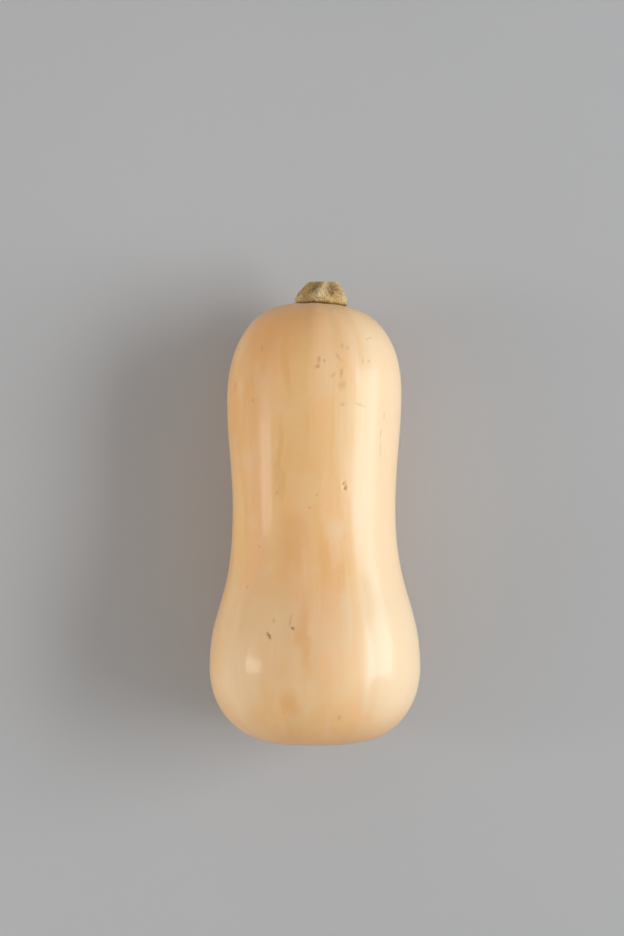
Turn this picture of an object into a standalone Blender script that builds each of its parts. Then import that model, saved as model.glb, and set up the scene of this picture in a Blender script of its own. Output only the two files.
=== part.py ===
"""A butternut squash lying on its side: the grown fruit and the stub of its stalk.

The fruit is a turned, faintly ribbed body worked out in its own frame, with its axis along +Y from
the blossom end to the stalk, and is then tipped until the bulb and the neck both rest on z = 0.
The stalk stands on the neck's end and follows the rind under it.
All lengths are in metres.
"""

import math

import bmesh
import bpy
import numpy as np

# Fruit: length between its poles, and its girth at fractions of that length, blossom end first.
FRUIT_LENGTH = 0.2412
GIRTH = (
    (0.000, 0.0546),
    (0.125, 0.0567),
    (0.250, 0.0555),
    (0.375, 0.0478),
    (0.500, 0.0444),
    (0.625, 0.0453),
    (0.770, 0.0475),
    (0.895, 0.0464),
    (1.000, 0.0453),
)
# Sideways drift of the axis: the neck is very nearly straight.
SWAY = (
    (0.00, 0.0003),
    (0.17, 0.0),
    (0.34, 0.0004),
    (0.50, -0.0003),
    (0.67, -0.0005),
    (0.84, 0.0),
    (1.00, 0.0001),
)
# The bulb lies before the first of these fractions of the length, and the neck past the second.
BULB_END = 0.40
NECK_START = 0.60

# Each end is rounded off over a length, by the two powers of a superellipse.
BLOSSOM_CAP = {"length": 0.0440, "inner": 2.3, "outer": 2.75}
STALK_CAP = {"length": 0.0485, "inner": 2.3, "outer": 2.65}
# Each pole is pressed in, and the stalk's end slopes a little to one side.
BLOSSOM_DIMPLE = {"depth": 0.0058, "width": 0.0185}
STALK_DIMPLE = {"depth": 0.0040, "width": 0.0194}
SHOULDER_SLOPE = 0.05
SHOULDER_WIDTH = 0.025

# Faint ribs run from end to end, and are clearest at the two shoulders.
RIB_COUNT = 10
RIB_SIDE_HEIGHT = 0.0002
RIB_END_HEIGHT = 0.0007

# Rind flattened where the fruit lay, under the bulb and under the neck.
RESTING_FLAT_DEPTH = 0.0008

# Stalk: a ribbed, flared stub whose centre is beside the fruit's axis.
STALK_OFFSET = 0.0038
STALK_HEIGHT = 0.0144
STALK_FOOT_RADIUS = 0.0141
STALK_TOP_RADIUS = 0.0072
STALK_TAPER_POWER = 1.5
STALK_LEAN = 0.0015
STALK_RIB_COUNT = 5
STALK_RIB_HEIGHT = 0.0009
STALK_TWIST = math.radians(-24)
STALK_CUT_DEPTH = 0.0012
STALK_POINT_HEIGHT = 0.0010
SEAT_GAP = 0.0003

# Facets.
FRUIT_STATIONS = 46
FRUIT_SIDES = 60
STALK_RINGS = 9
STALK_SIDES = 40
SEAT_RINGS = 4
FINE_STATIONS = 2001

RIND_COLOUR = (0.78, 0.50, 0.24, 1.0)
STALK_COLOUR = (0.45, 0.30, 0.14, 1.0)


def natural_spline(knots, at):
    """Cubic through (place, value) knots with no bending at its two ends, read at the places `at`."""
    place, value = np.array(knots).T
    step = np.diff(place)
    inner = np.arange(1, len(place) - 1)
    system = np.eye(len(place))
    system[inner, inner - 1] = step[:-1]
    system[inner, inner] = 2 * (step[:-1] + step[1:])
    system[inner, inner + 1] = step[1:]
    change = np.zeros(len(place))
    change[1:-1] = 6 * np.diff(np.diff(value) / step)
    bend = np.linalg.solve(system, change)
    left = np.clip(np.searchsorted(place, at, side="right") - 1, 0, len(place) - 2)
    width = step[left]
    before = at - place[left]
    after = place[left + 1] - at
    cubic = (bend[left] * after**3 + bend[left + 1] * before**3) / (6 * width)
    from_left = (value[left] / width - bend[left] * width / 6) * after
    from_right = (value[left + 1] / width - bend[left + 1] * width / 6) * before
    return cubic + from_left + from_right


def rounding(distance, cap):
    """Share of the girth at a distance from the pole: 0 at the pole, 1 past the cap's length."""
    along = np.clip(distance / cap["length"], 0.0, 1.0)
    return (1 - (1 - along) ** cap["inner"]) ** (1 / cap["outer"])


def radius_at(station):
    """Radius of the turned fruit at a station along its axis."""
    girth = natural_spline(GIRTH, station / FRUIT_LENGTH)
    return girth * rounding(station, BLOSSOM_CAP) * rounding(FRUIT_LENGTH - station, STALK_CAP)


def even_stations(count):
    """Stations spaced evenly along the outline, closer on the axis where the radius changes fast."""
    turn = np.linspace(0.0, math.pi, FINE_STATIONS)
    station = FRUIT_LENGTH * (1 - np.cos(turn)) / 2
    length = np.hypot(np.diff(station), np.diff(radius_at(station)))
    travelled = np.concatenate(([0.0], np.cumsum(length)))
    return np.interp(np.linspace(0.0, travelled[-1], count), travelled, station)


def rib_height(station, angle, radius):
    """Height of the faint ribs, more at the ends and none at the poles."""
    from_middle = np.abs(2 * station / FRUIT_LENGTH - 1)
    height = RIB_SIDE_HEIGHT + (RIB_END_HEIGHT - RIB_SIDE_HEIGHT) * from_middle**6
    return height * np.cos(RIB_COUNT * angle) * np.clip(radius / BLOSSOM_DIMPLE["width"], 0, 1) ** 2


def end_shift(station, x, radius):
    """Move along the axis that presses in both poles and slopes the shoulder round the stalk."""
    pressed_in = BLOSSOM_DIMPLE["depth"] * np.exp(-((radius / BLOSSOM_DIMPLE["width"]) ** 2))
    pressed_back = STALK_DIMPLE["depth"] * np.exp(-((radius / STALK_DIMPLE["width"]) ** 2))
    sloped = SHOULDER_SLOPE * x * np.exp(-((radius / SHOULDER_WIDTH) ** 2))
    return np.where(station < FRUIT_LENGTH / 2, pressed_in, -pressed_back - sloped)


def fruit_rings():
    """Rings of points from pole to pole, with the fruit's axis along +Y."""
    station, angle = np.meshgrid(
        even_stations(FRUIT_STATIONS),
        np.linspace(0.0, 2 * math.pi, FRUIT_SIDES, endpoint=False),
        indexing="ij",
    )
    radius = radius_at(station)
    radius = radius + rib_height(station, angle, radius)
    across = radius * np.sin(angle)
    x = across + natural_spline(SWAY, station / FRUIT_LENGTH)
    y = station + end_shift(station, across, radius)
    return np.stack((x, y, radius * np.cos(angle)), axis=-1)


def rind_height(x, z):
    """How far along the axis the stalk's end of the rind lies, at a point beside that axis."""
    across = x - SWAY[-1][1]
    radius = np.hypot(across, z)
    station = FRUIT_LENGTH - np.linspace(0.0, 1.0, FINE_STATIONS) ** 3 * STALK_CAP["length"]
    height = np.interp(radius, radius_at(station), station)
    return height + end_shift(height, across, radius)


def stalk_rings():
    """Rings of the stalk: up its ribbed side from the seat, then over the cut to its middle."""
    rise, angle = np.meshgrid(
        np.linspace(0.0, 1.0, STALK_RINGS),
        np.linspace(0.0, 2 * math.pi, STALK_SIDES, endpoint=False),
        indexing="ij",
    )
    taper = (STALK_FOOT_RADIUS - STALK_TOP_RADIUS) * rise**STALK_TAPER_POWER
    ribs = STALK_RIB_HEIGHT * np.cos(STALK_RIB_COUNT * (angle - STALK_TWIST * (1 - rise)))
    radius = STALK_FOOT_RADIUS - taper + ribs
    centre = STALK_OFFSET + STALK_LEAN * rise**2
    x = centre + radius * np.sin(angle)
    z = radius * np.cos(angle)
    foot = rind_height(x[0], z[0]) + SEAT_GAP
    point = STALK_POINT_HEIGHT * np.clip(np.sin(angle[0]), 0.0, 1.0) ** 4
    top = rind_height(STALK_OFFSET, 0.0) + STALK_HEIGHT + point
    y = foot + (top - foot) * rise
    return np.stack((x, y, z), axis=-1)


def stalk_seat(foot):
    """Rings under the stalk, from its foot in to its middle, a gap above the rind."""
    share = np.linspace(1.0, 0.0, SEAT_RINGS + 1)[1:-1, None]
    x = STALK_OFFSET + (foot[:, 0] - STALK_OFFSET) * share
    z = foot[:, 2] * share
    return np.stack((x, rind_height(x, z) + SEAT_GAP, z), axis=-1)


def resting_tilt():
    """Angle that tips the neck down until bulb and neck touch one plane."""
    station = even_stations(FINE_STATIONS)
    radius = radius_at(station)
    on_bulb = station < BULB_END * FRUIT_LENGTH
    on_neck = station > NECK_START * FRUIT_LENGTH
    tilt = 0.0
    for _ in range(8):
        reach = radius * math.cos(tilt) + station * math.sin(tilt)
        bulb = np.argmax(np.where(on_bulb, reach, -1.0))
        neck = np.argmax(np.where(on_neck, reach, -1.0))
        tilt = math.atan2(radius[bulb] - radius[neck], station[neck] - station[bulb])
    return tilt


def tip(points, tilt):
    """Turn points about X so that the stalk's end goes down by the tilt."""
    x, y, z = np.moveaxis(points, -1, 0)
    lengthwise = y * math.cos(tilt) + z * math.sin(tilt)
    upright = z * math.cos(tilt) - y * math.sin(tilt)
    return np.stack((x, lengthwise, upright), axis=-1)


def skin(name, rings, first_pole, last_pole):
    """Closed mesh over rings of points with a single point at each end."""
    count, sides = rings.shape[:2]
    points = np.concatenate((rings.reshape(-1, 3), [first_pole, last_pole]))
    side = np.arange(sides)
    after = np.roll(side, -1)
    faces = []
    for ring in range(count - 1):
        low = ring * sides
        high = low + sides
        faces += np.stack((low + side, low + after, high + after, high + side), axis=-1).tolist()
    last = (count - 1) * sides
    faces += np.stack((after, side, np.full(sides, count * sides)), axis=-1).tolist()
    faces += np.stack((last + side, last + after, np.full(sides, count * sides + 1)), axis=-1).tolist()
    mesh = bpy.data.meshes.new(name)
    mesh.from_pydata(points.tolist(), [], faces)
    return mesh


def close_facing_out(mesh):
    """Turn every face outwards and shade the piece smooth."""
    shape = bmesh.new()
    shape.from_mesh(mesh)
    bmesh.ops.recalc_face_normals(shape, faces=shape.faces)
    shape.to_mesh(mesh)
    shape.free()
    mesh.shade_smooth()
    mesh.set_sharp_from_angle(angle=math.radians(40))


def flatten_below_ground(mesh):
    """Slice off what lies under z = 0 and close each opening with a flat face."""
    shape = bmesh.new()
    shape.from_mesh(mesh)
    everything = shape.verts[:] + shape.edges[:] + shape.faces[:]
    bmesh.ops.bisect_plane(shape, geom=everything, dist=1e-6, plane_no=(0, 0, -1), clear_outer=True)
    bmesh.ops.holes_fill(shape, edges=[edge for edge in shape.edges if edge.is_boundary])
    shape.to_mesh(mesh)
    shape.free()


def finish(name, colour, roughness):
    """Plain surface of one colour for a piece."""
    material = bpy.data.materials.new(name)
    material.use_nodes = True
    shader = material.node_tree.nodes["Principled BSDF"]
    shader.inputs["Base Color"].default_value = colour
    shader.inputs["Roughness"].default_value = roughness
    shader.inputs["Metallic"].default_value = 0.0
    return material


def add_piece(name, mesh, material):
    """Object for a finished mesh, linked into the scene."""
    mesh.materials.append(material)
    piece = bpy.data.objects.new(name, mesh)
    bpy.context.scene.collection.objects.link(piece)
    return piece


def clear_scene():
    """Remove every object that the scene starts with."""
    for item in list(bpy.data.objects):
        bpy.data.objects.remove(item, do_unlink=True)


def build():
    """Make both pieces, tip them to rest, and centre them over the origin."""
    clear_scene()
    tilt = resting_tilt()
    fruit = tip(fruit_rings(), tilt)
    side = stalk_rings()
    seat = stalk_seat(side[0])
    stalk = tip(np.concatenate((seat[::-1], side)), tilt)
    seat_middle = np.array((STALK_OFFSET, rind_height(STALK_OFFSET, 0.0) + SEAT_GAP, 0.0))
    cut_middle = np.mean(side[-1], axis=0) - (0.0, STALK_CUT_DEPTH, 0.0)
    stalk_poles = tip(np.stack((seat_middle, cut_middle)), tilt)

    whole = np.concatenate((fruit.reshape(-1, 3), stalk.reshape(-1, 3)))
    low = whole.min(axis=0)
    high = whole.max(axis=0)
    shift = -np.array(((low[0] + high[0]) / 2, (low[1] + high[1]) / 2, low[2] + RESTING_FLAT_DEPTH))

    # The end rings of the fruit have shrunk to its poles, so a single point takes each one's place.
    rings = fruit + shift
    body = skin("squash_body", rings[1:-1], rings[0, 0], rings[-1, 0])
    flatten_below_ground(body)
    close_facing_out(body)
    add_piece("squash_body", body, finish("rind", RIND_COLOUR, 0.4))

    stub = skin("stalk", stalk + shift, *(stalk_poles + shift))
    close_facing_out(stub)
    add_piece("stalk", stub, finish("stalk_cork", STALK_COLOUR, 0.85))


build()
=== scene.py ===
"""Butternut squash: the looks of the fruit and of its stub of stalk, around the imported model."""
import itertools
import math

import bpy
import numpy as np
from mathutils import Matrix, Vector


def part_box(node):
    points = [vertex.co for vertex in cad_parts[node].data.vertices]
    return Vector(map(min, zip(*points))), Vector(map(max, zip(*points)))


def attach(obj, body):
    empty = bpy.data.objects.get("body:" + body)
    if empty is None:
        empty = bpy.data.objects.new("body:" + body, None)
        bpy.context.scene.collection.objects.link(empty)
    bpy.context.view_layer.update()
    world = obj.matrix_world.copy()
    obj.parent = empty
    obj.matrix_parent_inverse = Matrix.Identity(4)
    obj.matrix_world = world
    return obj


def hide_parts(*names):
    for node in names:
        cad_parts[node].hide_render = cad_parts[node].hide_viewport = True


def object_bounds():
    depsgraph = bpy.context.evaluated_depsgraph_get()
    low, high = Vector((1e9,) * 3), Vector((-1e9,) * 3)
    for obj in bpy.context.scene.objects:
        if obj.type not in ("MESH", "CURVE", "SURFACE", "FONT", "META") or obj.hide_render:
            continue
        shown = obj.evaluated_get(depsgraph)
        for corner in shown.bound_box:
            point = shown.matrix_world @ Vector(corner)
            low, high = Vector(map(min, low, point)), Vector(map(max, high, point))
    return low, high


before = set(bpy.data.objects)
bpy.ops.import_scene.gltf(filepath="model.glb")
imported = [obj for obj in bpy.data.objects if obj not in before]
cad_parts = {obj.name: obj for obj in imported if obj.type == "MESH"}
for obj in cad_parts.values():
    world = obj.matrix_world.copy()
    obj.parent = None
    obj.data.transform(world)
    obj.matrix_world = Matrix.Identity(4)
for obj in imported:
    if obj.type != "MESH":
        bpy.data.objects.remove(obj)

bl_info = {
    "name": "Butternut squash",
    "version": (1, 0, 0),
    "blender": (4, 5, 0),
    "location": "View3D > Sidebar > Squash",
    "description": "Grows the rind and the corky stalk of a butternut squash on a soft-lit stage",
    "category": "Object",
}

CAD_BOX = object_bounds()
FRUIT_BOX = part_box("squash_body")
STALK_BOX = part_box("stalk")

# The turned outline: (fraction of the length from the blossom end, girth radius in metres).
GIRTH = (
    (0.000, 0.0546),
    (0.125, 0.0567),
    (0.250, 0.0555),
    (0.375, 0.0478),
    (0.500, 0.0444),
    (0.625, 0.0453),
    (0.770, 0.0475),
    (0.895, 0.0464),
    (1.000, 0.0453),
)
# The axis drifts sideways by a fraction of a millimetre: (fraction of the length, drift in metres).
SWAY = (
    (0.00, 0.0003),
    (0.17, 0.0),
    (0.34, 0.0004),
    (0.50, -0.0003),
    (0.67, -0.0005),
    (0.84, 0.0),
    (1.00, 0.0001),
)
# Each end is rounded off over a length in metres, as a superellipse with two powers.
BLOSSOM_CAP = {"length": 0.0440, "inner": 2.3, "outer": 2.75}
STALK_CAP = {"length": 0.0485, "inner": 2.3, "outer": 2.65}
# The bulb rests on the floor before the first of these fractions, the neck past the second.
BULB_END = 0.40
NECK_START = 0.60
# A low button stands in the middle of each dimple, and the shoulder slopes over a radius.
BUTTON = {"share": 0.14, "width": 0.0042}
SHOULDER_WIDTH = 0.025
# Places from pole to pole at which the outline is measured.
FINE_STATIONS = 2001
# Sizes in metres of the rind's lumps and ripples, and where the puckers round the scar lie.
LUMP_SIZE = 0.035
RIPPLE_SIZE = 0.009
PUCKERS = {"count": 17, "from_pole": 0.012, "width": 0.008}
# Starting numbers of the noises, how many random values a noise has, and the large primes that
# spread them over the corners of its lattice.
SEEDS = {"lumps": 11, "ripples": 23, "cork": 31, "crumbs": 43, "cut": 57}
LATTICE_VALUES = 4096
LATTICE_PRIMES = (73856093, 19349663, 83492791)
# The skin's flat map: metres across it, and the height on it of the blossom pole.
MAP_WIDTH = 0.38
POLE_ON_MAP = 0.02
SKIN_MAP = "OFBake"
# Names under which a mesh keeps the points that its noise reads and how worn the stalk is there,
# and the radius in metres of the cylinder that carries the fruit's noise.
GRAIN = "grain"
CREST = "crest"
GRAIN_RADIUS = 0.0444

# Marks on the rind by kind: place along the axis in mm, angle from the top in degrees, length and
# width in mm, and the turn of the long side away from the axis in degrees.
MARKS = {
    "scab": (
        (200, 1.5, 2.6, 2.0, 60),
        (203.5, 2.5, 3.4, 1.8, 15),
        (203, 6, 1.5, 1.3, 0),
        (196.5, 17, 4.8, 1.5, 4),
        (183.5, -43, 1.6, 1.2, 0),
        (213, -68, 1.3, 1.1, 0),
        (138, 22, 1.6, 1.2, 60),
        (107, -40, 1.5, 1.1, 0),
        (86, -47, 1.6, 1.2, 0),
    ),
    "pit": (
        (139.5, 20, 2.2, 1.7, 40),
        (137, 21, 2.2, 1.8, 0),
        (65.5, -12.5, 2.2, 1.5, -25),
        (61.5, -25.5, 5.2, 1.6, -28),
    ),
    "moss": (
        (211.5, 18.5, 3.0, 1.7, 5),
        (210, 22, 2.4, 1.3, 10),
        (205.5, 15, 4.6, 1.5, -28),
        (203.5, 17, 2.0, 1.3, -40),
        (195.5, 11.5, 3.6, 2.0, 40),
        (204, 37.5, 2.4, 1.7, 60),
        (203.5, 32.5, 3.2, 1.1, 0),
        (180.5, 30.5, 6.4, 1.6, 106),
        (180.5, 18, 3.0, 1.6, 70),
        (176, 52, 3.4, 1.4, 10),
    ),
    "scratch": (
        (217, 43, 2.8, 0.9, 65),
        (216, 39.5, 2.2, 0.9, 60),
        (166.5, 49.5, 4.6, 0.9, 5),
        (158, 50, 9.0, 0.8, 0),
        (69, -14, 6.8, 1.0, 8),
    ),
    "blush": (
        (192, -63, 5.4, 3.0, 0),
    ),
    "stain": (
        (190.5, 17.5, 4.8, 3.6, 20),
        (211, -38.5, 3.4, 2.0, 0),
        (134.5, -25.5, 1.8, 1.4, 0),
        (133.5, 2, 1.8, 1.4, 0),
        (127, -3, 1.6, 1.3, 0),
        (69, -23.5, 2.6, 1.7, 0),
        (20, 14, 3.2, 2.0, 0),
    ),
}
# Broad soft patches by colour, in the same terms as the marks.
PATCHES = {
    "ochre": (
        (214, -40, 40, 24, 0),
        (204, -19, 44, 6, 0),
        (110, -16, 36, 17, 0),
        (150, -22, 50, 5, 0),
        (26, -13, 18, 9, 0),
        (60, -6, 44, 8, 0),
        (120, -150, 90, 14, 0),
        (190, 120, 60, 10, 0),
    ),
    "peach": (
        (196, 4, 88, 12, 0),
        (128, 9, 60, 9, 0),
        (20, 24, 16, 20, 20),
        (50, 5, 18, 7, 0),
        (60, 140, 70, 18, 0),
        (200, -110, 50, 16, 0),
    ),
    "cream": (
        (172, 20, 70, 12, 0),
        (210, 12, 56, 30, 0),
        (70, 17, 34, 6, 0),
        # Painted light: this pale patch lifts the lower left of the bulb, standing in for light from
        # that side.
        (34, -48, 50, 34, 0),
        (112, 12, 30, 9, 0),
    ),
    "deep": (
        (226, -30, 52, 46, 0),
    ),
}
MARK_FIELDS = ("station", "angle", "length", "width", "turn")
# Each kind of mark: its colour, the reach to which it is full and the reach at which it is gone,
# in half widths, and its strength. The rough kinds are dull and stand off the rind.
MARK_LOOKS = {
    "scab": ("scab", 0.3, 1.5, 0.43),
    "pit": ("scab", 0.4, 1.3, 0.80),
    "moss": ("moss", 0.1, 1.6, 0.40),
    "scratch": ("moss", 0.3, 1.4, 0.48),
    "blush": ("blush", 0.1, 1.6, 0.45),
    "stain": ("blush", 0.1, 1.7, 0.38),
}
ROUGH_MARKS = ("scab", "pit", "moss", "scratch")
PATCH_STRENGTH = {"ochre": 0.60, "peach": 0.60, "cream": 0.25, "deep": 0.70}
# Painted sheen on the side toward the window: its direction round the axis (top, right, along).
SHEEN_ANGLE = math.radians(62)
SHEEN_SIDE = (math.cos(SHEEN_ANGLE), math.sin(SHEEN_ANGLE), 0.0)
# Gloss of the rind: a thin wax over a soft, slightly translucent skin.
RIND_GLOSS = {
    "Coat Weight": 0.40,
    "Coat Roughness": 0.09,
    "Specular IOR Level": 0.32,
    "Subsurface Weight": 0.08,
    "Subsurface Radius": (0.006, 0.003, 0.0012),
    "Subsurface Scale": 1.0,
}
# Lights: name, place, width and height in metres, colour, and whether it leaves a highlight.
DAYLIGHT = (0.93, 0.97, 1.0)
LAMPLIGHT = (1.0, 0.98, 0.95)
LIGHTS = (
    ("window", (1.15, 0.08, 0.44), (0.66, 0.86), DAYLIGHT, True),
    ("fanlight", (1.15, 0.0, 1.08), (1.00, 0.42), DAYLIGHT, False),
    ("pane", (-1.48, 0.0, 0.72), (0.24, 0.70), LAMPLIGHT, True),
    ("board", (-1.15, -0.40, 0.27), (1.30, 0.50), LAMPLIGHT, False),
)
SKY_COLOUR = (1.0, 0.99, 0.975, 1.0)
# Sideways part of a direction from which the sky brightens toward a wall.
WALL_START = 0.58
# The floor: rings and sides of its grid, the share of its radius that is flat, and how light its
# faint clouds are beside it.
FLOOR_RINGS = 60
FLOOR_SIDES = 128
FLAT_SHARE = 0.55
CLOUD_SHADE = 0.965
SENSOR_WIDTH = 36.0


# ---------------------------------------------------------------------------------- properties
def number_setting(name, description, default, unit="NONE", **limits):
    """Setting that is a number in some unit."""
    return bpy.props.FloatProperty(
        name=name, description=description, default=default, unit=unit, **limits)


def length_setting(name, description, default, **limits):
    """Setting that is a length in metres."""
    return number_setting(name, description, default, "LENGTH", **limits)


def count_setting(name, description, default, least):
    """Setting that is a whole number, with its least value."""
    return bpy.props.IntProperty(name=name, description=description, default=default, min=least)


def colour_setting(name, description, colour):
    """Setting that is an opaque colour."""
    return bpy.props.FloatVectorProperty(
        name=name, description=description, default=(*colour, 1.0),
        size=4, subtype="COLOR", min=0.0, max=1.0)


class FruitSettings(bpy.types.PropertyGroup):
    """Sizes and colours of the fruit."""

    length: length_setting("Length", "Pole to pole, before the poles are pressed in", 0.2412, min=0.05)
    rib_count: count_setting("Ribs", "Faint ribs that run from end to end", 10, 3)
    rib_side_height: length_setting(
        "Rib height, sides", "Height of a rib on the neck and the bulb", 0.00014, min=0.0)
    rib_end_height: length_setting(
        "Rib height, ends", "Height of a rib at the two shoulders", 0.00035, min=0.0)
    blossom_dimple: length_setting(
        "Blossom dimple", "How far the blossom end is pressed in", 0.0058, min=0.0)
    stalk_dimple: length_setting(
        "Stalk dimple", "How far the stalk's end is pressed in", 0.0040, min=0.0)
    dimple_width: length_setting(
        "Dimple width", "Radius over which each end is pressed in", 0.0190, min=0.001)
    shoulder_slope: number_setting(
        "Shoulder slope", "Sideways slope of the shoulder round the stalk", 0.05)
    lump_height: length_setting(
        "Lump height", "Unevenness of the rind over about 35 mm", 0.00035, min=0.0)
    ripple_height: length_setting(
        "Ripple height", "Unevenness of the rind over about 9 mm", 0.00008, min=0.0)
    pucker_height: length_setting(
        "Pucker height", "Height of the small folds round the blossom scar", 0.00030, min=0.0)
    flat_depth: length_setting(
        "Resting flat", "Depth of the flats that the fruit rests on", 0.0008, min=0.0)
    stations: count_setting("Stations", "Rings of points from end to end", 300, 20)
    sides: count_setting("Sides", "Points round each ring", 320, 20)
    tan: colour_setting("Tan", "Main colour of the rind", (0.885, 0.535, 0.222))
    ochre: colour_setting("Ochre", "Darker bands of the rind", (0.835, 0.442, 0.158))
    deep: colour_setting("Deep", "Deeper orange at the two ends", (0.92, 0.455, 0.165))
    peach: colour_setting("Peach", "Pinker bands of the rind", (0.935, 0.540, 0.262))
    # Cream gives pale streaks and also the painted sheen on the side toward the window.
    cream: colour_setting(
        "Cream", "Pale streaks and the spot that the fruit lay on", (0.90, 0.740, 0.520))
    scab: colour_setting("Scab", "Corky brown specks", (0.46, 0.20, 0.08))
    moss: colour_setting("Olive scuff", "Olive scuffs and scratches", (0.56, 0.355, 0.145))
    cork: colour_setting("Blossom scar", "Dry cork where the flower fell off", (0.37, 0.225, 0.105))
    blush: colour_setting("Blush", "Reddish bruises", (0.60, 0.30, 0.15))


class StalkSettings(bpy.types.PropertyGroup):
    """Sizes and colours of the stub of stalk."""

    offset: length_setting("Offset", "Sideways place of the foot's middle", 0.0038)
    height: length_setting("Height", "From the bottom of the dimple to the cut", 0.0144, min=0.001)
    foot_radius: length_setting(
        "Foot radius", "Radius where the stalk meets the rind", 0.0141, min=0.001)
    lean: length_setting("Lean", "Sideways move of the cut's middle", 0.0012)
    rib_height: length_setting(
        "Rib height", "Height of a rib over the grooves beside it", 0.0017, min=0.0)
    rings: count_setting("Rings", "Rings of points from the seat to the cut's middle", 240, 20)
    sides: count_setting("Sides", "Points round each ring", 300, 20)
    cork: colour_setting("Cork", "Main colour of the stalk", (0.60, 0.395, 0.17))
    # The groove colour also paints the shade at the bottom of the stalk.
    groove: colour_setting("Groove", "Dark olive brown between the ribs", (0.20, 0.121, 0.041))
    crest: colour_setting("Crest", "Pale worn ribs", (0.74, 0.565, 0.32))
    olive: colour_setting("Olive", "Yellow olive low on the stalk", (0.62, 0.44, 0.135))


class StageSettings(bpy.types.PropertyGroup):
    """Floor, lights and camera."""

    floor: colour_setting("Floor", "Colour of the plain floor", (0.502, 0.502, 0.508))
    floor_radius: length_setting("Floor radius", "Distance to the raised edge", 3.0)
    edge_height: length_setting("Edge height", "Height of the raised edge", 1.5)
    window_power: number_setting("Window", "Power of the tall window on the right", 6.3, "POWER")
    fanlight_power: number_setting("Fanlight", "Power of the wide light over the window", 9.2, "POWER")
    pane_power: number_setting("Pane", "Power of the small light on the left", 2.8, "POWER")
    board_power: number_setting("Board", "Power of the long low board on the left", 6.0, "POWER")
    ambient: number_setting("Ambient", "Strength of the even light from above", 0.365)
    left_wall: number_setting("Left wall", "Strength that the wall on the left adds", 0.25)
    right_wall: number_setting("Right wall", "Strength that the wall on the right adds", 4.6)
    camera_height: length_setting("Camera height", "Height over the floor", 0.8987)
    camera_side: length_setting("Camera sideways", "Sideways place from the fruit's middle", -0.0016)
    camera_forward: length_setting(
        "Camera forward", "Place from the fruit's middle toward the stalk", 0.0230)
    lens: number_setting("Lens", "Focal length", 60.0, "CAMERA")


# ---------------------------------------------------------------------------- surface formulas
def natural_spline(knots, at):
    """Cubic through (place, value) knots with no bending at its two ends, read at the places `at`."""
    place, value = np.array(knots).T
    step = np.diff(place)
    inner = np.arange(1, len(place) - 1)
    system = np.eye(len(place))
    system[inner, inner - 1] = step[:-1]
    system[inner, inner] = 2 * (step[:-1] + step[1:])
    system[inner, inner + 1] = step[1:]
    change = np.zeros(len(place))
    change[1:-1] = 6 * np.diff(np.diff(value) / step)
    bend = np.linalg.solve(system, change)
    left = np.clip(np.searchsorted(place, at, side="right") - 1, 0, len(place) - 2)
    width = step[left]
    before = at - place[left]
    after = place[left + 1] - at
    cubic = (bend[left] * after**3 + bend[left + 1] * before**3) / (6 * width)
    from_left = (value[left] / width - bend[left] * width / 6) * after
    from_right = (value[left + 1] / width - bend[left + 1] * width / 6) * before
    return cubic + from_left + from_right


def smooth_step(low, high, value):
    """0 below low, 1 above high, and the cubic 3t^2 - 2t^3 between them."""
    share = np.clip((value - low) / (high - low), 0.0, 1.0)
    return share * share * (3 - 2 * share)


def lattice_noise(points, seed):
    """Smooth noise from -1 to 1: a random value at each whole-number corner, blended across each
    cell by the quintic 6t^5 - 15t^4 + 10t^3."""
    values = np.random.default_rng(seed).uniform(-1.0, 1.0, LATTICE_VALUES)
    corner = np.floor(points).astype(np.int64)
    part = points - corner
    fade = part**3 * (part * (part * 6 - 15) + 10)
    total = np.zeros(points.shape[:-1])
    for offset in itertools.product((0, 1), repeat=3):
        drawn = np.bitwise_xor.reduce((corner + offset) * LATTICE_PRIMES, axis=-1)
        share = np.prod(np.where(np.array(offset) == 1, fade, 1 - fade), axis=-1)
        total += values[drawn % LATTICE_VALUES] * share
    return total


def layered_noise(points, size, layers, seed):
    """Sum of lattice noises, each half the size and half the height of the one before."""
    total = np.zeros(points.shape[:-1])
    for layer in range(layers):
        total += lattice_noise(points * 2**layer / size, seed + layer) / 2**layer
    return total


def rounding(distance, cap):
    """Share of the girth at a distance from the pole: 0 at the pole, 1 past the cap's length."""
    along = np.clip(distance / cap["length"], 0.0, 1.0)
    return (1 - (1 - along) ** cap["inner"]) ** (1 / cap["outer"])


def radius_at(station, length):
    """Radius of the turned fruit: its girth spline times the superellipse of each end."""
    girth = natural_spline(GIRTH, station / length)
    return girth * rounding(station, BLOSSOM_CAP) * rounding(length - station, STALK_CAP)


def outline(length):
    """Fine stations from pole to pole, and the distance travelled along the outline to each."""
    turn = np.linspace(0.0, math.pi, FINE_STATIONS)
    station = length * (1 - np.cos(turn)) / 2
    steps = np.hypot(np.diff(station), np.diff(radius_at(station, length)))
    return station, np.concatenate(([0.0], np.cumsum(steps)))


def resting_tilt(length):
    """Angle that tips the neck down until bulb and neck touch one plane."""
    station, _ = outline(length)
    radius = radius_at(station, length)
    on_bulb = station < BULB_END * length
    on_neck = station > NECK_START * length
    tilt = 0.0
    for _ in range(8):
        reach = radius * math.cos(tilt) + station * math.sin(tilt)
        bulb = np.argmax(np.where(on_bulb, reach, -1.0))
        neck = np.argmax(np.where(on_neck, reach, -1.0))
        tilt = math.atan2(radius[bulb] - radius[neck], station[neck] - station[bulb])
    return tilt


def tip(points, tilt):
    """Turn points about X so that the stalk's end goes down by the tilt."""
    x, y, z = np.moveaxis(points, -1, 0)
    lengthwise = y * math.cos(tilt) + z * math.sin(tilt)
    upright = z * math.cos(tilt) - y * math.sin(tilt)
    return np.stack((x, lengthwise, upright), axis=-1)


def box_round(points):
    """Lowest and highest corner of the box round some points."""
    flat = points.reshape(-1, 3)
    return flat.min(axis=0), flat.max(axis=0)


def stretch_to_box(points, box):
    """Scale and move points so that they fill a box exactly."""
    low, high = box_round(points)
    box_low, box_high = np.array(box)
    return box_low + (points - low) * (box_high - box_low) / (high - low)


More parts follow.
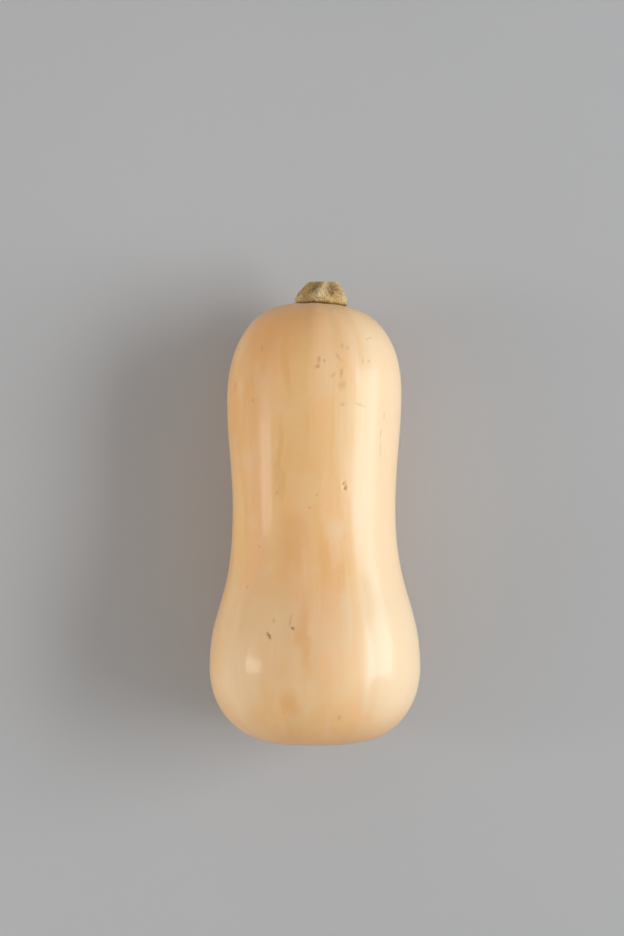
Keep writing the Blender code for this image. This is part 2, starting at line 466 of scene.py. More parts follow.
def end_shift(station, across, radius, fruit):
    """Move along the axis: a bell-shaped dimple at each pole, less the bell of the low button in
    it, and a slope round the stalk that fades as a bell."""
    button = BUTTON["share"] * np.exp(-((radius / BUTTON["width"]) ** 2))
    bell = np.exp(-((radius / fruit.dimple_width) ** 2)) - button
    sloped = fruit.shoulder_slope * across * np.exp(-((radius / SHOULDER_WIDTH) ** 2))
    at_stalk = -fruit.stalk_dimple * bell - sloped
    return np.where(station < fruit.length / 2, fruit.blossom_dimple * bell, at_stalk)


def rib_height(station, angle, radius, fruit):
    """Cosine ribs, uneven in height, more at the two ends and none at the poles."""
    from_middle = np.abs(2 * station / fruit.length - 1)
    height = fruit.rib_side_height + (fruit.rib_end_height - fruit.rib_side_height) * from_middle**6
    uneven = 1 + 0.35 * np.cos(3 * angle + 0.7) + 0.25 * np.cos(7 * angle + 2.1)
    fading = np.clip(radius / fruit.dimple_width, 0, 1) ** 2
    return height * uneven * np.cos(fruit.rib_count * angle) * fading


def grain_points(station, angle):
    """Points of a cylinder round the axis, in metres, on which noise follows the surface."""
    return np.stack((GRAIN_RADIUS * np.cos(angle), GRAIN_RADIUS * np.sin(angle), station), axis=-1)


def pressed_marks(arc, travelled, marks):
    """Depth in metres of the pits: each is a bell over its own turned ellipse."""
    depth = np.zeros(arc.shape)
    for mark in marks:
        turn = math.radians(mark["turn"])
        x = arc - mark["arc"]
        y = travelled - mark["travelled"]
        across = (x * math.cos(turn) - y * math.sin(turn)) / mark["width"]
        along = (x * math.sin(turn) + y * math.cos(turn)) / mark["length"]
        reach = np.sqrt(across**2 + along**2) * 2
        depth += mark["width"] * (0.35 * np.exp(-(reach**2)) - 0.10 * np.exp(-((reach - 1.7) ** 2) * 3))
    return depth


def placed_marks(rows, fruit):
    """Marks with their places on the skin: arc round the fruit from its top, and distance
    travelled along the outline."""
    station, travelled = outline(fruit.length)
    placed = []
    for row in rows:
        mark = dict(zip(MARK_FIELDS, row))
        place = mark["station"] / 1000
        mark["arc"] = math.radians(mark["angle"]) * float(radius_at(np.array([place]), fruit.length)[0])
        mark["travelled"] = float(np.interp(place, station, travelled))
        mark["length"] /= 1000
        mark["width"] /= 1000
        placed.append(mark)
    return placed


def fruit_surface(fruit):
    """Fruit in its own frame, axis along +Y. Over (station, angle) a point lies at the turned radius,
    plus ribs, lumps and ripples, less pits, and is moved along the axis by the dimples."""
    fine_station, fine_travelled = outline(fruit.length)
    travelled = np.linspace(0.0, fine_travelled[-1], fruit.stations)
    station = np.interp(travelled, fine_travelled, fine_station)
    angle = np.linspace(-math.pi, math.pi, fruit.sides + 1)
    travelled, turn = np.meshgrid(travelled, angle, indexing="ij")
    station, _ = np.meshgrid(station, angle, indexing="ij")
    turned = radius_at(station, fruit.length)
    grain = grain_points(station, turn)
    near_pole = np.clip(turned / fruit.dimple_width, 0, 1)
    lumps = fruit.lump_height * lattice_noise(grain / LUMP_SIZE, SEEDS["lumps"])
    ripples = fruit.ripple_height * lattice_noise(grain / RIPPLE_SIZE, SEEDS["ripples"])
    arc = turn * turned
    pits = pressed_marks(arc, travelled, placed_marks(MARKS["pit"], fruit))
    ring = np.exp(-(((travelled - PUCKERS["from_pole"]) / PUCKERS["width"]) ** 2))
    folds = np.cos(PUCKERS["count"] * turn + 1.5 * np.cos(5 * turn) + 0.8)
    folds = folds * (0.6 + 0.4 * np.cos(3 * turn + 2))
    pucker = fruit.pucker_height * ring * folds
    radius = turned + rib_height(station, turn, turned, fruit) + (lumps + ripples) * near_pole - pits
    across = radius * np.sin(turn)
    x = across + natural_spline(SWAY, station / fruit.length)
    y = station + end_shift(station, across, radius, fruit) + pucker
    points = np.stack((x, y, radius * np.cos(turn)), axis=-1)
    skin = np.stack((0.5 + arc / MAP_WIDTH, travelled / MAP_WIDTH + POLE_ON_MAP), axis=-1)
    return points, skin, grain / GRAIN_RADIUS


def fruit_shift(points, fruit):
    """Move that brings the tipped fruit over its place in the frame, sunk by its resting flats."""
    low, high = box_round(points)
    sideways, forward, _ = np.array(FRUIT_BOX).mean(axis=0) - (low + high) / 2
    return np.array((sideways, forward, -low[2] - fruit.flat_depth))


def rest_on_floor(points):
    """Bend what lies under the floor up to it: z becomes the mean of z and a rounded |z|."""
    softness = 0.0002
    upright = points[..., 2]
    lifted = (upright + np.sqrt(upright**2 + softness**2)) / 2
    return np.concatenate((points[..., :2], lifted[..., None]), axis=-1)


def rind_height(x, z, fruit):
    """How far along the axis the stalk's end of the rind lies, at a point beside that axis."""
    across = x - SWAY[-1][1]
    radius = np.hypot(across, z)
    station = fruit.length - np.linspace(0.0, 1.0, FINE_STATIONS) ** 3 * STALK_CAP["length"]
    height = np.interp(radius, radius_at(station, fruit.length), station)
    return height + end_shift(height, across, radius, fruit)


# Outline of the stalk: (share of the outline, share of the foot radius, share of the height).
STALK_OUTLINE = (
    (0.00, 0.00, -0.04),
    (0.10, 0.78, -0.04),
    (0.15, 0.95, 0.00),
    (0.20, 1.02, 0.09),
    (0.28, 1.03, 0.22),
    (0.38, 1.00, 0.42),
    (0.50, 0.88, 0.65),
    (0.62, 0.72, 0.85),
    (0.70, 0.61, 0.96),
    (0.745, 0.54, 1.00),
    (0.80, 0.46, 0.97),
    (0.90, 0.24, 0.90),
    (1.00, 0.00, 0.88),
)
# Ribs of the stalk: (angle at the cut, angle at the foot, width, height share), angles in degrees.
STALK_RIBS = (
    (10, -18, 13, 0.95),
    (84, 66, 21, 1.00),
    (132, 112, 16, 0.75),
    (178, 156, 19, 0.95),
    (228, 206, 17, 0.80),
    (274, 250, 16, 0.95),
    (318, 292, 17, 0.35),
)
# Knobs and pits of the stalk: (angle in degrees, share of the height, reach and height in metres).
STALK_KNOBS = (
    (-9, 0.36, 0.0026, 0.0008),
    (13, 0.20, 0.0024, 0.0012),
    (62, 0.20, 0.0028, 0.0012),
    (40, 0.36, 0.0022, 0.0007),
    (-52, 0.30, 0.0042, 0.0006),
    (29, 0.70, 0.0015, -0.0006),
    (27, 0.56, 0.0017, -0.0008),
    (-2, 0.24, 0.0036, 0.0007),
    (52, 0.66, 0.0018, -0.0006),
    (-20, 0.70, 0.0022, -0.0005),
    (118, 0.30, 0.0030, 0.0010),
    (150, 0.55, 0.0026, -0.0010),
    (205, 0.25, 0.0032, 0.0010),
    (250, 0.45, 0.0030, -0.0008),
    (292, 0.22, 0.0030, 0.0009),
)
# Heights in metres of the cork's unevenness, of its crumbs, of the torn cut, and of a rib's end
# on the cut, the slope of the cut, and the height at which a knob is worn pale.
CORK_HEIGHT = 0.00035
CRUMB_HEIGHT = 0.00012
TORN_HEIGHT = 0.00030
RIB_END_HEIGHT = 0.0002
CUT_SLOPE = 0.05
KNOB_WEAR_HEIGHT = 0.0012
# Splinters that stand up from the rim of the cut: (angle in degrees, width, height in metres).
STALK_SPLINTERS = (
    (84, 8, 0.0013),
    (50, 20, 0.0008),
    (-72, 16, 0.0004),
)


def turn_between(angle, place):
    """Smallest turn in degrees between two angles in radians."""
    return np.degrees(np.abs(np.angle(np.exp(1j * (angle - place)))))


def stalk_ribs(angle, rise):
    """Height of the ribs from 0 to 1: a bell over each rib's angle, which turns from foot to cut."""
    total = np.zeros(angle.shape)
    for at_cut, at_foot, width, height in STALK_RIBS:
        place = np.radians(at_foot + (at_cut - at_foot) * rise)
        total = np.maximum(total, height * np.exp(-((turn_between(angle, place) / width) ** 2)))
    return total


def stalk_knobs(angle, rise, stalk):
    """Height in metres of knobs and pits: round bells on the side of the stalk."""
    total = np.zeros(angle.shape)
    for place, at, reach, height in STALK_KNOBS:
        across = np.radians(turn_between(angle, math.radians(place))) * stalk.foot_radius * 0.85
        along = (rise - at) * stalk.height
        total += height * np.exp(-(across**2 + along**2) / reach**2)
    return total


def stalk_surface(stalk, fruit):
    """Stalk in the fruit's frame. Over (share of its outline, angle) a point lies at the outline's
    radius and height, pushed out along the ribs and knobs and roughened by cork noise."""
    share, angle = np.meshgrid(
        np.linspace(0.0, 1.0, stalk.rings),
        np.linspace(-math.pi, math.pi, stalk.sides + 1),
        indexing="ij",
    )
    knots = np.array(STALK_OUTLINE)
    out = np.clip(np.interp(share, knots[:, 0], knots[:, 1]), 0.0, None)
    rise = np.interp(share, knots[:, 0], knots[:, 2])
    height_share = np.clip(rise, 0.0, 1.0)
    ribs = stalk_ribs(angle, height_share)
    on_side = smooth_step(0.10, 0.20, share) * (1 - smooth_step(0.72, 0.82, share))
    at_cut = smooth_step(0.64, 0.76, share)
    grain = np.stack((out * np.cos(angle), out * np.sin(angle), 0.9 * rise), axis=-1)
    cork = layered_noise(grain, 0.11, 4, SEEDS["cork"])
    crumbs = layered_noise(grain, 0.045, 2, SEEDS["crumbs"])
    pushed = stalk.rib_height * (ribs - 0.5) + CORK_HEIGHT * cork + CRUMB_HEIGHT * crumbs
    knobs = stalk_knobs(angle, rise, stalk)
    radius = stalk.foot_radius * out + on_side * (pushed + knobs)
    centre = stalk.offset + stalk.lean * height_share**2
    x = centre + radius * np.sin(angle)
    z = radius * np.cos(angle)
    foot = rind_height(x, z, fruit)
    splinters = sum(
        height * np.exp(-((turn_between(angle, math.radians(place)) / width) ** 2))
        for place, width, height in STALK_SPLINTERS
    )
    rim = at_cut * (1 - smooth_step(0.78, 0.88, share))
    torn = TORN_HEIGHT * layered_noise(grain, 0.20, 3, SEEDS["cut"]) + RIB_END_HEIGHT * (ribs - 0.5)
    ragged = at_cut * torn - CUT_SLOPE * at_cut * (x - centre)
    seat = rind_height(stalk.offset, 0.0, fruit)
    y = foot + (seat + stalk.height - foot) * rise + ragged + rim * splinters
    points = np.stack((x, y, z), axis=-1)
    skin = np.stack((angle / (2 * math.pi) + 0.5, share), axis=-1)
    worn = ribs * (0.35 + 0.65 * on_side) + knobs / KNOB_WEAR_HEIGHT * 0.85 + 0.12 * cork + 0.5 * rim
    return points, skin, np.clip(worn, 0.0, 1.0), grain


# ------------------------------------------------------------------------------------- meshes
def ring_quads(rings, sides):
    """Faces with four corners between rings of points that each close on themselves."""
    ring, side = np.meshgrid(np.arange(rings - 1), np.arange(sides), indexing="ij")
    after = (side + 1) % sides
    low = ring * sides
    high = low + sides
    return np.stack((low + side, low + after, high + after, high + side), axis=-1).reshape(-1, 4)


def new_object(name, data):
    """Object for some data, in the scene."""
    made = bpy.data.objects.new(name, data)
    bpy.context.scene.collection.objects.link(made)
    return made


def vertex_values(grid):
    """Values of a grid in the order of a closed surface's vertices: its rings, then its two poles."""
    rings = grid[1:-1, :-1]
    return np.concatenate((rings.reshape(-1, *grid.shape[2:]), grid[0, :1], grid[-1, :1]))


def closed_surface(name, points, skin):
    """Closed mesh over rings whose last column repeats the first. The first and the last ring
    have shrunk to a pole, so each becomes a single point."""
    count = len(points)
    sides = points.shape[1] - 1
    quads = ring_quads(count - 2, sides)
    column = np.arange(sides)
    turned = (column + 1) % sides
    last = (count - 3) * sides
    pole = (count - 2) * sides
    first_fan = np.stack((turned, column, np.full(sides, pole)), axis=-1)
    last_fan = np.stack((last + column, last + turned, np.full(sides, pole + 1)), axis=-1)
    mesh = bpy.data.meshes.new(name)
    faces = quads.tolist() + first_fan.tolist() + last_fan.tolist()
    mesh.from_pydata(vertex_values(points).tolist(), [], faces)

    place = skin[1:-1]
    corners = np.stack(
        (place[:-1, :-1], place[:-1, 1:], place[1:, 1:], place[1:, :-1]), axis=2
    ).reshape(-1, 2)
    first_pole = np.stack(((skin[0, :-1, 0] + skin[0, 1:, 0]) / 2, skin[0, :-1, 1]), axis=-1)
    last_pole = np.stack(((skin[-1, :-1, 0] + skin[-1, 1:, 0]) / 2, skin[-1, :-1, 1]), axis=-1)
    first_corners = np.stack((place[0, 1:], place[0, :-1], first_pole), axis=1).reshape(-1, 2)
    last_corners = np.stack((place[-1, :-1], place[-1, 1:], last_pole), axis=1).reshape(-1, 2)
    layer = mesh.uv_layers.new(name=SKIN_MAP)
    layer.data.foreach_set("uv", np.concatenate((corners, first_corners, last_corners)).ravel())
    mesh.shade_smooth()
    mesh.validate()
    return mesh


def store_values(mesh, name, values):
    """Keep a number or a vector on each vertex of a closed surface."""
    kind, field = ("FLOAT", "value") if values.ndim == 2 else ("FLOAT_VECTOR", "vector")
    attribute = mesh.attributes.new(name, kind, "POINT")
    attribute.data.foreach_set(field, vertex_values(values).astype(np.float32).ravel())


def add_piece(name, mesh, material, node):
    """Object for a finished mesh that rides with the fruit and stands for a node of the model."""
    mesh.materials.append(material)
    piece = new_object(name, mesh)
    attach(piece, "root")
    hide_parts(node)


# ---------------------------------------------------------------------------------- materials
class Nodes:
    """Short ways to add and join the nodes of one material, or of the sky."""

    def __init__(self, owner, shader="Principled BSDF"):
        owner.use_nodes = True
        self.owner = owner
        self.tree = owner.node_tree
        self.shader = self.tree.nodes[shader]

    def feed(self, node, inputs):
        """Join sockets of a node, by name or number, to outputs, or set their own values."""
        for name, value in inputs.items():
            if isinstance(value, bpy.types.NodeSocket):
                self.tree.links.new(value, node.inputs[name])
            else:
                node.inputs[name].default_value = value

    def add(self, kind, inputs=None, **settings):
        """Outputs of a new node with its settings and inputs."""
        node = self.tree.nodes.new("ShaderNode" + kind)
        for name, value in settings.items():
            setattr(node, name, value)
        self.feed(node, inputs or {})
        return node.outputs

    def math(self, operation, first, second=0.0):
        """Arithmetic on two numbers."""
        return self.add("Math", {0: first, 1: second}, operation=operation)[0]

    def vector(self, operation, first, second=(0.0, 0.0, 0.0)):
        """Arithmetic on two vectors."""
        output = "Value" if operation in ("LENGTH", "DOT_PRODUCT") else "Vector"
        return self.add("VectorMath", {0: first, 1: second}, operation=operation)[output]

    def mapping(self, vector, kind="POINT", **moves):
        """Move, turn and scale a pattern."""
        return self.add("Mapping", {"Vector": vector, **moves}, vector_type=kind)["Vector"]

    def noise(self, vector, scale, detail=2.0, roughness=0.5, output="Fac"):
        """Smooth noise from 0 to 1."""
        inputs = {"Vector": vector, "Scale": scale, "Detail": detail, "Roughness": roughness}
        return self.add("TexNoise", inputs)[output]

    def drawn_out(self, grain, stretch, scale, shift=(0.0, 0.0, 0.0), **looks):
        """Noise from 0 to 1 that is drawn out along the fruit and shifted, so as to be another."""
        place = self.mapping(grain, Location=shift, Scale=(1.0, 1.0, stretch))
        return self.noise(place, scale, **looks)

    def cells(self, vector, scale):
        """Distance to the nearest point of a scattered set."""
        return self.add("TexVoronoi", {"Vector": vector, "Scale": scale})["Distance"]

    def parts(self, vector):
        """X, Y and Z of a vector."""
        return self.add("SeparateXYZ", {0: vector})

    def swing(self, noise, reach):
        """Noise moved from between 0 and 1 to either side of zero, times a reach."""
        return self.math("MULTIPLY", self.math("SUBTRACT", noise, 0.5), reach)

    def wander(self, vector, noise, reach):
        """Vector moved about by a coloured noise, with a reach along each axis."""
        move = self.vector("MULTIPLY", self.vector("SUBTRACT", noise, (0.5, 0.5, 0.5)), reach)
        return self.vector("ADD", vector, move)

    def ramp(self, value, low, high, to_low=0.0, to_high=1.0):
        """Smooth change from one value to another between two limits."""
        inputs = {"Value": value, "From Min": low, "From Max": high, "To Min": to_low, "To Max": to_high}
        return self.add("MapRange", inputs, interpolation_type="SMOOTHSTEP")["Result"]

    def mix(self, factor, first, second):
        """Colour between two colours."""
        return self.add("Mix", {"Factor": factor, "A": first, "B": second}, data_type="RGBA")["Result"]

    def bump(self, height, distance, strength, normal=None):
        """Small relief on the surface, over an earlier one where that is given."""
        inputs = {"Height": height, "Distance": distance, "Strength": strength}
        if normal is not None:
            inputs["Normal"] = normal
        return self.add("Bump", inputs)["Normal"]


def nearest_mark(nodes, skin, marks):
    """Distance to the nearest of some marks, each measured so that its outline lies at 1."""
    nearest = None
    for mark in marks:
        local = nodes.mapping(
            skin,
            "TEXTURE",
            Location=(0.5 + mark["arc"] / MAP_WIDTH, mark["travelled"] / MAP_WIDTH + POLE_ON_MAP, 0.0),
            Rotation=(0.0, 0.0, -math.radians(mark["turn"])),
            Scale=(mark["width"] / 2 / MAP_WIDTH, mark["length"] / 2 / MAP_WIDTH, 1.0),
        )
        reach = nodes.vector("LENGTH", local)
        nearest = reach if nearest is None else nodes.math("MINIMUM", nearest, reach)
    return nearest


def banded_colour(nodes, fruit, grain, noises):
    """Tan with long bands and streaks of the other colours, a painted sheen on the side toward the
    window, and a pale swell.
    """
    colour = fruit.tan
    for name, low, high, most, tint in (
        ("bands", 0.42, 0.66, 0.75, fruit.ochre),
        ("tints", 0.44, 0.62, 0.60, fruit.peach),
        ("streaks", 0.50, 0.75, 0.16, fruit.cream),
        ("fibres", 0.50, 0.72, 0.08, fruit.ochre),
        ("mottle", 0.45, 0.75, 0.16, fruit.cream),
    ):
        colour = nodes.mix(nodes.ramp(noises[name], low, high, 0.0, most), colour, tint)

    along = nodes.parts(grain)["Z"]
    # Painted sheen: the side toward the window is mixed toward cream, standing in for the window's light
    # and gloss on it.
    facing_window = nodes.vector("DOT_PRODUCT", grain, SHEEN_SIDE)
    facing_window = nodes.math("ADD", facing_window, nodes.swing(noises["streaks"], 0.15))
    on_side = nodes.math("MULTIPLY", nodes.ramp(along, 0.0, 0.7), nodes.ramp(along, 4.8, 5.5, 1.0, 0.0))
    sheen_mask = nodes.math("MULTIPLY", nodes.ramp(facing_window, 0.70, 0.94, 0.0, 0.60), on_side)
    colour = nodes.mix(sheen_mask, colour, fruit.cream)
    from_swell = nodes.math("ABSOLUTE", nodes.math("SUBTRACT", along, 1.25))
    from_swell = nodes.math("ADD", from_swell, nodes.swing(noises["tints"], 1.2))
    return nodes.mix(nodes.ramp(from_swell, 0.2, 1.0, 0.26, 0.0), colour, fruit.cream)


def patched_colour(nodes, fruit, colour, skin, grain):
    """Broad soft patches with drifting edges over a colour."""
    drift = nodes.drawn_out(grain, 0.5, 5.0, detail=3.0, output="Color")
    drifted = nodes.wander(skin, drift, (0.035, 0.08, 0.0))
    for kind, most in PATCH_STRENGTH.items():
        reach = nearest_mark(nodes, drifted, placed_marks(PATCHES[kind], fruit))
        colour = nodes.mix(nodes.ramp(reach, 0.3, 1.35, most, 0.0), colour, getattr(fruit, kind))
    return colour


def marked_colour(nodes, fruit, colour, skin, place, covered):
    """Small marks with torn edges over a colour, and how far rough marks cover the rind."""
    tear = nodes.noise(place, 700.0, detail=3.0, output="Color")
    torn = nodes.wander(skin, tear, (0.0055, 0.0055, 0.0))
    for kind, (tint, full, gone, most) in MARK_LOOKS.items():
        reach = nearest_mark(nodes, torn, placed_marks(MARKS[kind], fruit))
        mask = nodes.ramp(reach, full, gone, most, 0.0)
        colour = nodes.mix(mask, colour, getattr(fruit, tint))
        if kind in ROUGH_MARKS:
            covered = nodes.math("MAXIMUM", covered, mask)
    return colour, covered


def rind_material(fruit):
    """Waxy tan rind: long soft bands and fine streaks that follow the fruit, pores and marks."""
    nodes = Nodes(bpy.data.materials.new("waxy_rind"))
    skin = nodes.add("UVMap", uv_map=SKIN_MAP)["UV"]
    grain = nodes.add("Attribute", attribute_name=GRAIN)["Vector"]
    place = nodes.add("TexCoord")["Object"]
    noises = {
        "bands": nodes.drawn_out(grain, 0.20, 2.4),
        "tints": nodes.drawn_out(grain, 0.20, 2.2, shift=(3.1, 1.7, 0.4)),
        "streaks": nodes.drawn_out(grain, 0.07, 11.0, detail=3.0, roughness=0.6),
        "fibres": nodes.drawn_out(grain, 0.16, 42.0),
        "mottle": nodes.noise(place, 60.0, detail=4.0, roughness=0.6),
    }
    colour = banded_colour(nodes, fruit, grain, noises)
    colour = patched_colour(nodes, fruit, colour, skin, grain)

    from_pole = nodes.math("SUBTRACT", nodes.parts(skin)["Y"], POLE_ON_MAP)
    from_pole = nodes.math("ADD", from_pole, nodes.swing(noises["mottle"], 0.012))
    colour = nodes.mix(nodes.ramp(from_pole, 0.02, 0.17, 0.95, 0.0), colour, fruit.deep)
    scar = nodes.ramp(from_pole, 0.0095, 0.0145, 1.0, 0.0)
    colour = nodes.mix(nodes.ramp(from_pole, 0.011, 0.030, 0.55, 0.0), colour, fruit.scab)
    colour = nodes.mix(scar, colour, fruit.cork)
    colour, covered = marked_colour(nodes, fruit, colour, skin, place, scar)

    along = nodes.parts(grain)["Z"]
    waxy = nodes.math("MULTIPLY", nodes.noise(place, 22.0), 0.12)
    gloss = nodes.math("ADD", nodes.ramp(along, 1.5, 2.6, 0.285, 0.37), waxy)
    rough = nodes.math("ADD", gloss, nodes.math("MULTIPLY", covered, 0.2))

    relief = nodes.bump(nodes.ramp(nodes.cells(place, 900.0), 0.0, 0.35), 0.00002, 0.25)
    relief = nodes.bump(noises["streaks"], 0.0005, 0.06, relief)
    relief = nodes.bump(covered, 0.00025, 0.5, relief)
    crumbs = nodes.math("MULTIPLY", scar, nodes.noise(place, 1500.0, detail=3.0))
    relief = nodes.bump(crumbs, 0.0012, 0.8, relief)
    dull = nodes.ramp(along, 1.4, 2.6, 0.15, 1.0)
    wax = nodes.bump(nodes.noise(place, 1800.0, detail=1.0), 0.00003, dull)
    wax = nodes.bump(nodes.noise(place, 190.0, detail=3.0, roughness=0.6), 0.00012, 1.0, wax)
    finish = {"Base Color": colour, "Roughness": rough, "Normal": relief, "Coat Normal": wax}
    nodes.feed(nodes.shader, {**finish, **RIND_GLOSS})
    return nodes.owner


def cork_material(stalk):
    """Dry corky stalk: pale worn ribs, dark olive grooves, specks, a yellower foot, and painted shade
    darkening its very bottom where it meets the rind.
    """
    nodes = Nodes(bpy.data.materials.new("cork"))
    crest = nodes.add("Attribute", attribute_name=CREST)["Fac"]
    grain = nodes.add("Attribute", attribute_name=GRAIN)["Vector"]
    cork = nodes.noise(grain, 9.0, detail=5.0, roughness=0.65)
    flecks = nodes.noise(grain, 15.0, detail=4.0, roughness=0.72)
    specks = nodes.cells(grain, 17.0)
    fibres = nodes.drawn_out(grain, 0.3, 30.0, detail=3.0)

    uneven = nodes.swing(cork, 1.1)
    ridge = nodes.math("ADD", crest, uneven)
    colour = nodes.mix(nodes.ramp(ridge, -0.15, 0.22), stalk.groove, stalk.cork)
    colour = nodes.mix(nodes.ramp(ridge, 0.45, 1.0), colour, stalk.crest)
    parts = nodes.parts(grain)
    height = nodes.math("ADD", parts["Z"], nodes.math("MULTIPLY", uneven, 0.15))
    side = nodes.ramp(parts["Y"], -0.35, 0.35, 0.35, 0.85)
    low = nodes.math("MULTIPLY", nodes.ramp(height, 0.10, 0.34, 1.0, 0.0), side)
    colour = nodes.mix(low, colour, stalk.olive)
    colour = nodes.mix(nodes.ramp(flecks, 0.50, 0.60, 0.0, 0.72), colour, stalk.groove)
    colour = nodes.mix(nodes.ramp(specks, 0.12, 0.36, 0.60, 0.0), colour, stalk.crest)
    colour = nodes.mix(nodes.ramp(fibres, 0.58, 0.75, 0.0, 0.35), colour, stalk.crest)
    # Painted shade: the bottom of the stalk, in the crevice under its flared foot, is darkened with the
    # groove colour.
    colour = nodes.mix(nodes.ramp(height, 0.05, 0.13, 0.92, 0.0), colour, stalk.groove)

    rough = nodes.ramp(cork, 0.3, 0.7, 0.95, 0.75)
    relief = nodes.bump(flecks, 0.0005, 0.6, nodes.bump(cork, 0.0010, 0.5))
    finish = {"Base Color": colour, "Roughness": rough, "Normal": relief, "Specular IOR Level": 0.25}
    nodes.feed(nodes.shader, finish)
    return nodes.owner


def floor_material(stage):
    """Plain pale matt floor, with the faintest cloudiness."""
    nodes = Nodes(bpy.data.materials.new("floor"))
    place = nodes.add("TexCoord")["Object"]
    cloud = nodes.ramp(nodes.noise(place, 2.2), 0.35, 0.65)
    shade = [CLOUD_SHADE * part for part in stage.floor[:3]] + [1.0]
    colour = nodes.mix(cloud, stage.floor, shade)
    nodes.feed(nodes.shader, {"Base Color": colour, "Roughness": 0.9, "Specular IOR Level": 0.2})
    return nodes.owner


# ---------------------------------------------------------------------------------- operators
class SQUASH_OT_fruit(bpy.types.Operator):
    """Grow the fruit: its ribbed, slightly lumpy rind with pits, streaks and specks"""

    bl_idname = "squash.fruit"
    bl_label = "Fruit"

    def execute(self, context):
        """Shape the fruit, tip it to rest in the frame's box, and finish it."""
        fruit = context.scene.squash_fruit
        points, skin, grain = fruit_surface(fruit)
        points = tip(points, resting_tilt(fruit.length))
        points = rest_on_floor(points + fruit_shift(points, fruit))
        mesh = closed_surface("squash_rind", stretch_to_box(points, FRUIT_BOX), skin)
        store_values(mesh, GRAIN, grain)
        add_piece("squash_rind", mesh, rind_material(fruit), "squash_body")
        return {"FINISHED"}


class SQUASH_OT_stalk(bpy.types.Operator):
    """Grow the stub of stalk: corky ribs that flare onto the shoulder, and a ragged cut"""

    bl_idname = "squash.stalk"
    bl_label = "Stalk"

    def execute(self, context):
        """Shape the stalk in the fruit's frame, bring it to its box, and finish it."""
        fruit = context.scene.squash_fruit
        stalk = context.scene.squash_stalk
        points, skin, crest, grain = stalk_surface(stalk, fruit)
        points = stretch_to_box(tip(points, resting_tilt(fruit.length)), STALK_BOX)
        mesh = closed_surface("corky_stalk", points, skin)
        store_values(mesh, CREST, crest)
        store_values(mesh, GRAIN, grain)
        add_piece("corky_stalk", mesh, cork_material(stalk), "stalk")
        return {"FINISHED"}


def add_area_light(name, place, size, power, colour, mirrored):
    """Upright rectangular light that faces across the stage. It isn't seen itself, and without
    mirrored it leaves no highlight either."""
    data = bpy.data.lights.new(name, "AREA")
    data.shape = "RECTANGLE"
    data.size, data.size_y = size
    data.energy = power
    data.color = colour
    light = new_object(name, data)
    light.location = place
    light.rotation_euler = (math.radians(90), 0.0, math.radians(90) * math.copysign(1, place[0]))
    light.visible_camera = False
    light.visible_glossy = mirrored


def add_floor(stage):
    """Round floor whose edge curves up: over (share, angle) the radius grows to a limit and the
    height follows a quarter of an ellipse."""
    share = np.linspace(0, 1, FLOOR_RINGS)
    angle = np.linspace(-math.pi, math.pi, FLOOR_SIDES + 1)
    share, angle = np.meshgrid(share, angle, indexing="ij")
    bend = np.clip((share - FLAT_SHARE) / (1 - FLAT_SHARE), 0, 1) * math.pi / 2
    radius = stage.floor_radius * (np.minimum(share, FLAT_SHARE) + (1 - FLAT_SHARE) * np.sin(bend))
    height = stage.edge_height * (1 - np.cos(bend))
    points = np.stack((radius * np.cos(angle), radius * np.sin(angle), height), axis=-1)
    rings = points[1:, :-1].reshape(-1, 3)
    quads = ring_quads(FLOOR_RINGS - 1, FLOOR_SIDES)[:, (0, 3, 2, 1)]
    column = np.arange(FLOOR_SIDES)
    middle = np.full(FLOOR_SIDES, len(rings))
    fan = np.stack((column, (column + 1) % FLOOR_SIDES, middle), axis=-1)
    mesh = bpy.data.meshes.new("floor")
    mesh.from_pydata(rings.tolist() + [[0.0, 0.0, 0.0]], [], quads.tolist() + fan.tolist())
    mesh.shade_smooth()
    mesh.materials.append(floor_material(stage))
    floor = new_object("floor", mesh)


def add_sky(stage):
    """Even light from above, that grows smoothly toward the low walls on the left and the right."""
    nodes = Nodes(bpy.data.worlds.new("sky"), "Background")
    sideways = nodes.parts(nodes.add("TexCoord")["Generated"])["X"]
    even = stage.ambient / 2
    left = nodes.ramp(sideways, -WALL_START, -1.0, even, even + stage.left_wall)
    right = nodes.ramp(sideways, WALL_START, 1.0, even, even + stage.right_wall)
    nodes.feed(nodes.shader, {"Color": SKY_COLOUR, "Strength": nodes.math("ADD", left, right)})
    bpy.context.scene.world = nodes.owner


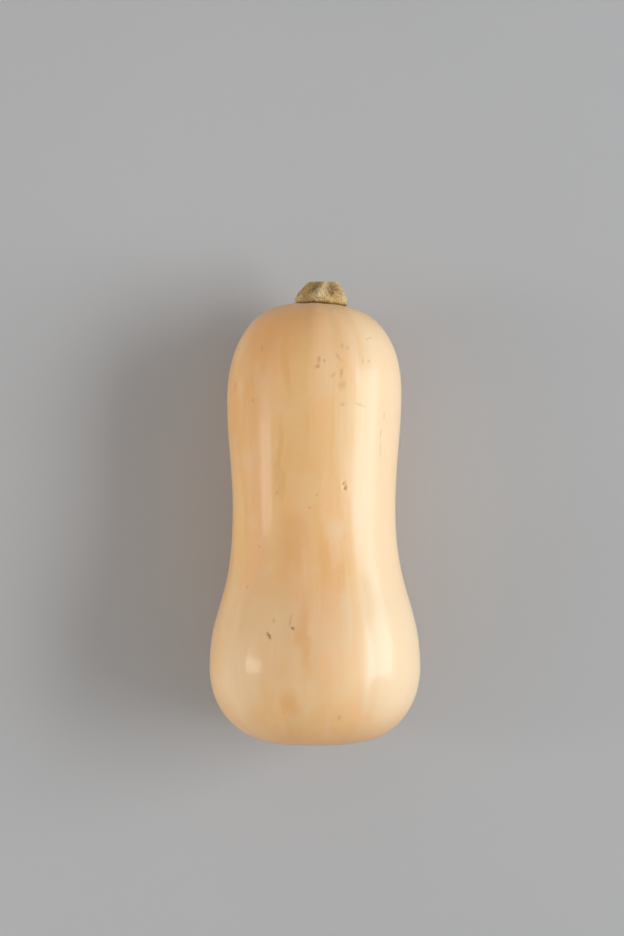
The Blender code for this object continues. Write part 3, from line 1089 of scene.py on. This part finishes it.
def add_camera(stage):
    """Camera straight above the neck's side of the middle, looking down, stalk at the top."""
    data = bpy.data.cameras.new("camera")
    data.lens = stage.lens
    data.sensor_width = SENSOR_WIDTH
    camera = new_object("camera", data)
    middle = (CAD_BOX[0] + CAD_BOX[1]) / 2
    side = middle.x + stage.camera_side
    camera.location = (side, middle.y + stage.camera_forward, stage.camera_height)
    bpy.context.scene.camera = camera


class SQUASH_OT_stage(bpy.types.Operator):
    """Set the stage: a pale floor, soft lights on both sides, a sky and a camera overhead"""

    bl_idname = "squash.stage"
    bl_label = "Stage"

    def execute(self, context):
        """Add floor, lights and camera."""
        stage = context.scene.squash_stage
        add_floor(stage)
        add_sky(stage)
        for name, place, size, colour, mirrored in LIGHTS:
            add_area_light(name, place, size, getattr(stage, name + "_power"), colour, mirrored)
        add_camera(stage)
        context.scene.view_settings.view_transform = "Standard"
        return {"FINISHED"}


class SQUASH_PT_panel(bpy.types.Panel):
    """Lists the operators and their settings"""

    bl_idname = "SQUASH_PT_panel"
    bl_label = "Butternut squash"
    bl_space_type = "VIEW_3D"
    bl_region_type = "UI"
    bl_category = "Squash"

    def draw(self, context):
        """Buttons, each over its settings."""
        layout = self.layout
        for operator, group in zip(OPERATORS, SETTINGS):
            layout.operator(operator.bl_idname)
            settings = getattr(context.scene, group)
            for name in settings.__annotations__:
                layout.prop(settings, name)


OPERATORS = (SQUASH_OT_fruit, SQUASH_OT_stalk, SQUASH_OT_stage)
SETTINGS = {
    "squash_fruit": FruitSettings,
    "squash_stalk": StalkSettings,
    "squash_stage": StageSettings,
}
CLASSES = (*SETTINGS.values(), *OPERATORS, SQUASH_PT_panel)


def register():
    """Register the classes and hang the settings on the scene."""
    for item in CLASSES:
        bpy.utils.register_class(item)
    for name, group in SETTINGS.items():
        setattr(bpy.types.Scene, name, bpy.props.PointerProperty(type=group))


def unregister():
    """Take the settings off the scene and unregister the classes."""
    for name in SETTINGS:
        delattr(bpy.types.Scene, name)
    for item in reversed(CLASSES):
        bpy.utils.unregister_class(item)


def main():
    """Register the add-on, grow both pieces and set the stage."""
    register()
    bpy.ops.squash.fruit()
    bpy.ops.squash.stalk()
    bpy.ops.squash.stage()


if __name__ == "__main__":
    main()
